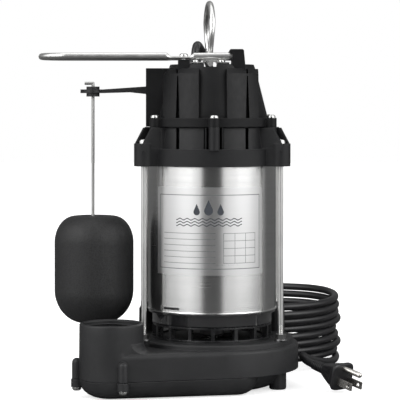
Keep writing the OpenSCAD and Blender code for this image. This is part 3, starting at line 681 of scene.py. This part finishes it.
# ------------------------------------------------------------------ rating label
LABEL_START, LABEL_SWEEP = 213.2, 106.9  # degrees round the motor can
LABEL_BOTTOM, LABEL_TOP = 103.0, 179.5
LABEL_RADIUS, LABEL_THICKNESS = 57.27, 0.16
PRINT_INNER, PRINT_OUTER = 57.42, 57.46  # radii of the printed layer
PRINT_SCALE_RADIUS = 57.4
BORDER_WIDTH = 0.55
BORDER_BOTTOM, BORDER_TOP = 108.4, 172.6
LINE_WIDTH = 0.35
TABLE_BOTTOM = 113.4


def rating_label():
    columns, rows = 96, 40
    row_size = columns + 1
    verts = []
    for radius in (LABEL_RADIUS + LABEL_THICKNESS, LABEL_RADIUS):
        for j in range(rows + 1):
            z = LABEL_BOTTOM + (LABEL_TOP - LABEL_BOTTOM) * j / rows
            for i in range(row_size):
                a = LABEL_START + LABEL_SWEEP * i / columns
                verts.append((radius * cos_deg(a), radius * sin_deg(a), z))
    back = row_size * (rows + 1)  # first point of the inner face
    faces = []
    for j in range(rows):
        for i in range(columns):
            q = j * row_size + i
            faces.append((q, q + 1, q + row_size + 1, q + row_size))
            faces.append((back + q, back + q + row_size, back + q + row_size + 1,
                          back + q + 1))
    for i in range(columns):
        faces.append((i, back + i, back + i + 1, i + 1))
        q = rows * row_size + i
        faces.append((q, q + 1, back + q + 1, back + q))
    for j in range(rows):
        q = j * row_size
        faces.append((q, q + row_size, back + q + row_size, back + q))
        q += columns
        faces.append((q, back + q, back + q + row_size, q + row_size))
    ob = make("rating_label_detail", verts, faces, "label_foil")
    sharpen(ob, 40)
    return ob


def print_on_label(name, polygons, material):
    """Printed areas: x runs along the curve from the label's middle, z is height."""
    verts, faces = [], []
    for polygon in polygons:
        count = len(polygon)
        base = len(verts)
        for radius in (PRINT_OUTER, PRINT_INNER):
            for x, z in polygon:
                a = math.radians(LABEL_START + LABEL_SWEEP / 2) + x / PRINT_SCALE_RADIUS
                verts.append((radius * math.cos(a), radius * math.sin(a), z))
        faces.append(tuple(base + i for i in range(count)))
        faces.append(tuple(base + count + i for i in range(count - 1, -1, -1)))
        for i in range(count):
            j = (i + 1) % count
            faces.append((base + i, base + count + i, base + count + j, base + j))
    make(name, verts, faces, material, smooth=False)


def box(x0, x1, z0, z1):
    return [(x0, z0), (x1, z0), (x1, z1), (x0, z1)]


def band(x0, x1, z, height):
    """A horizontal band cut into short pieces so that it follows the curve."""
    count = int((x1 - x0) / 1.5)
    cuts = [x0 + (x1 - x0) * i / count for i in range(count + 1)]
    return [box(a, b, z, z + height) for a, b in zip(cuts, cuts[1:])]


def label_rules():
    """The border, and two ruled tables below the emblem."""
    rules = []
    for z in (BORDER_TOP, BORDER_BOTTOM):
        rules += band(-49, 49, z, BORDER_WIDTH)
    for x in (-49.3, 48.75):
        rules.append(box(x, x + BORDER_WIDTH, BORDER_BOTTOM, BORDER_TOP + BORDER_WIDTH))
    # left and right ends, line spacing, number of lines
    for x0, x1, pitch, count in ((-44, 6, 5.2, 6), (13, 44, 6.5, 5)):
        for i in range(count):
            rules += band(x0, x1, TABLE_BOTTOM + pitch * i, LINE_WIDTH)
    for x in (13, 23.2, 33.5, 43.7):
        rules.append(box(x, x + LINE_WIDTH, TABLE_BOTTOM, TABLE_BOTTOM + 4 * 6.5 + LINE_WIDTH))
    return rules


def drop_shape(centre_x, centre_z, size, count=22):
    """Narrow upright slices of a water drop, so that it follows the curve."""
    radius, tip_angle = 0.62 * size, math.asin(0.4)

    def ends(dx):
        reach = math.sqrt(max(0.0, radius * radius - dx * dx))
        if abs(dx) < radius * math.cos(tip_angle):
            return centre_z - reach, centre_z + 1.55 * size - abs(dx) / math.tan(tip_angle)
        return centre_z - reach, centre_z + reach

    slices = []
    for k in range(count):
        d0, d1 = (-radius + 2 * radius * i / count for i in (k, k + 1))
        (low0, high0), (low1, high1) = ends(d0), ends(d1)
        x0, x1 = centre_x + d0, centre_x + d1
        if k == 0:
            slices.append([(x0, centre_z), (x1, low1), (x1, high1)])
        elif k == count - 1:
            slices.append([(x0, low0), (x1, centre_z), (x0, high0)])
        else:
            slices.append([(x0, low0), (x1, low1), (x1, high1), (x0, high0)])
    return slices


def label_waves():
    """Three wavy lines under the drops."""
    height = 0.85
    waves = []
    for row in range(3):
        for x0 in range(-30, 30):
            x1 = x0 + 1
            z0, z1 = (151.4 - 2.6 * row + 0.75 * math.sin(x * 0.9) for x in (x0, x1))
            waves.append([(x0, z0), (x1, z1), (x1, z1 + height), (x0, z0 + height)])
    return waves


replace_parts(rating_label(), "rating_label")
print_on_label("label_rules", label_rules(), "label_ink_grey")
drops = [part for drop in ((-10.5, 158.2, 4.6), (0, 159.2, 6.2), (10.5, 158.2, 4.6))
         for part in drop_shape(*drop)]
print_on_label("label_emblem", drops, "label_ink")
print_on_label("label_waves", label_waves(), "label_ink")


# ------------------------------------------------------------------ slot and clip
def can_patch(name, angles, heights, radii, material, steps=14):
    """A raised patch on the motor can; each pair gives its two limits."""
    (a0, a1), (z0, z1), (inner, outer) = angles, heights, radii
    section = ((inner, z0), (outer, z0 + 0.12), (outer, z1 - 0.12), (inner, z1))
    rings = []
    for i in range(steps + 1):
        a = a0 + (a1 - a0) * i / steps
        rings.append([(r * cos_deg(a), r * sin_deg(a), z) for r, z in section])
    skin(name, rings, material, sharp=35)


# crimp slot and clip at the foot of the motor can
can_patch("can_slot_frame", (221.0, 240.2), (71.2, 74.9), (57.0, 57.42), "can_steel")
can_patch("can_slot", (221.8, 239.4), (71.9, 74.2), (57.2, 57.50), "screen_black")
can_patch("can_clip", (216.4, 220.0), (70.9, 75.4), (57.0, 57.95), "stainless_fasteners",
          steps=6)

# ------------------------------------------------------------------ threads
THREAD_ROOT = 0.12  # how far the ridge is sunk into its wall
# x, y, wall radius, bottom, top
BOLT_THREADS = (
    (60.2, -35, 2.25, 50.0, 57.2), (-60.2, -35, 2.25, 50.0, 57.2),
    (60.2, 35, 2.4, 71.4, 77.0), (-60.2, 35, 2.4, 71.4, 77.0),
)


def thread(name, x, y, radius, z0, z1, pitch, depth, material, inward=False, segments=40):
    """A helical ridge that fades out over half a turn at both ends."""
    count = int((z1 - z0) / pitch * segments)
    sign = -1 if inward else 1
    root = radius - sign * THREAD_ROOT
    rings = []
    for i in range(count + 1):
        a = 2 * math.pi * i / segments
        z = z0 + (z1 - z0) * i / count
        fade = min(1.0, i / (segments * 0.5), (count - i) / (segments * 0.5))
        crest = root + sign * (depth * max(0.02, fade) + THREAD_ROOT)
        section = ((root, -0.42), (crest, -0.06), (crest, 0.06), (root, 0.42))
        rings.append([(x + r * math.cos(a), y + r * math.sin(a), z + pitch * part)
                      for r, part in section])
    skin(name, rings, material, sharp=35)


for i, place in enumerate(BOLT_THREADS):
    thread(f"tie_bolt_thread_{i}", *place, pitch=0.9, depth=0.26,
           material="stainless_fasteners")
thread("socket_thread", x=-87, y=-72, radius=24.1, z0=41.8, z1=61.8, pitch=2.2, depth=1.15,
       material="housing_black", inward=True, segments=72)


# ------------------------------------------------------------------ stage, in metres
def floor_material():
    """Near white, lifted for the camera and dark in reflections."""
    material, tree, shader = new_material("floor_m")
    clouds = noise(tree, coords(tree), scale=3.0)
    base = mix_colour(tree, remap(tree, clouds, (0.3, 0.7), (0, 1)),
                      (0.86, 0.86, 0.86), (0.89, 0.89, 0.89))
    tree.links.new(base, shader.inputs["Base Color"])
    shader.inputs["Roughness"].default_value = 0.85
    shader.inputs["Specular IOR Level"].default_value = 0.1
    shader.inputs["Emission Color"].default_value = (1, 1, 1, 1)
    rays = tree.nodes.new("ShaderNodeLightPath")
    glow = math_node(tree, "MULTIPLY", rays.outputs["Is Camera Ray"], 0.62)
    tree.links.new(glow, shader.inputs["Emission Strength"])
    dark = tree.nodes.new("ShaderNodeBsdfDiffuse")
    dark.inputs[0].default_value = (0.10, 0.10, 0.10, 1)
    mix = tree.nodes.new("ShaderNodeMixShader")
    output = next(n for n in tree.nodes if n.bl_idname == "ShaderNodeOutputMaterial")
    tree.links.new(rays.outputs["Is Glossy Ray"], mix.inputs[0])
    tree.links.new(shader.outputs[0], mix.inputs[1])
    tree.links.new(dark.outputs[0], mix.inputs[2])
    tree.links.new(mix.outputs[0], output.inputs[0])
    return material


def make_floor(half=6.0):
    mesh = bpy.data.meshes.new("floor")
    corners = [(-half, -half, 0), (half, -half, 0), (half, half, 0), (-half, half, 0)]
    mesh.from_pydata(corners, [], [(0, 1, 2, 3)])
    floor = bpy.data.objects.new("floor", mesh)
    COLLECTION.objects.link(floor)
    floor.location.z = -0.0002
    mesh.materials.append(floor_material())


# Studio walls: angle from the front as a fraction of 180 degrees, brightness.
# Dark dead ahead, bright at the sides, dim at the back.
STUDIO_WALLS = ((0.0, 0.0), (0.088, 0.0), (0.118, 1.65), (0.20, 2.1), (0.42, 1.9),
                (0.54, 1.35), (0.62, 0.16), (0.8, 0.18), (1.0, 0.26))


def make_world():
    """White to the camera, and a studio of bright and dark walls to everything else."""
    world = bpy.data.worlds.new("studio")
    bpy.context.scene.world = world
    world.use_nodes = True
    tree = world.node_tree
    tree.nodes.clear()
    output = tree.nodes.new("ShaderNodeOutputWorld")
    white = tree.nodes.new("ShaderNodeBackground")
    white.inputs[0].default_value = (1, 1, 1, 1)
    white.inputs[1].default_value = 1.0
    studio = tree.nodes.new("ShaderNodeBackground")
    studio.inputs[1].default_value = 0.95
    source = tree.nodes.new("ShaderNodeTexCoord")
    axes = tree.nodes.new("ShaderNodeSeparateXYZ")
    tree.links.new(source.outputs["Generated"], axes.inputs[0])
    azimuth = math_node(tree, "ARCTAN2", axes.outputs[0],
                        math_node(tree, "MULTIPLY", axes.outputs[1], -1.0))
    degrees = math_node(tree, "MULTIPLY", math_node(tree, "ABSOLUTE", azimuth),
                        180 / math.pi)
    walls = tree.nodes.new("ShaderNodeValToRGB")
    tree.links.new(math_node(tree, "DIVIDE", degrees, 180.0), walls.inputs[0])
    elements = walls.color_ramp.elements
    while len(elements) < len(STUDIO_WALLS):
        elements.new(0.5)
    for element, (position, value) in zip(elements, STUDIO_WALLS):
        element.position = position
        element.color = (value, value, value, 1)
    # the walls give way to an even grey overhead
    overhead = remap(tree, axes.outputs[2], (0.72, 0.95), (0.0, 1.0))
    surround = mix_colour(tree, overhead, walls.outputs[0], (0.55, 0.55, 0.55))
    tree.links.new(surround, studio.inputs[0])
    rays = tree.nodes.new("ShaderNodeLightPath")
    mix = tree.nodes.new("ShaderNodeMixShader")
    tree.links.new(rays.outputs["Is Camera Ray"], mix.inputs[0])
    tree.links.new(studio.outputs[0], mix.inputs[1])
    tree.links.new(white.outputs[0], mix.inputs[2])
    tree.links.new(mix.outputs[0], output.inputs[0])


# name, place, point it faces, size, watts
LIGHTS = (
    ("key_left", (-1.5, -1.2, 1.3), (0, 0, 0.15), 1.1, 13),
    ("key_right", (1.6, -0.9, 1.1), (0, 0, 0.15), 1.0, 9),
    ("top", (0.0, 0.1, 2.2), (0, 0, 0.1), 1.4, 8),
)


def area_light(name, place, target, size, watts):
    light = bpy.data.lights.new(name, "AREA")
    light.energy = watts
    light.size = size
    ob = bpy.data.objects.new(name, light)
    COLLECTION.objects.link(ob)
    ob.location = place
    ob.rotation_euler = (Vector(target) - Vector(place)).to_track_quat("-Z", "Y").to_euler()


def make_camera():
    """Level camera in front of the pump; the shift lowers the view without tilting."""
    camera = bpy.data.cameras.new("camera")
    camera.sensor_width = 36
    camera.lens = 162.5
    camera.shift_y = -0.2425
    camera.clip_start = 0.05
    camera.clip_end = 50
    ob = bpy.data.objects.new("camera", camera)
    COLLECTION.objects.link(ob)
    ob.location = (-0.0108, -1.625, 0.253)
    ob.rotation_euler = (math.radians(90), 0, 0)
    bpy.context.scene.camera = ob


make_floor()
make_world()
for row in LIGHTS:
    area_light(*row)
make_camera()
bpy.context.scene.view_settings.view_transform = "Standard"
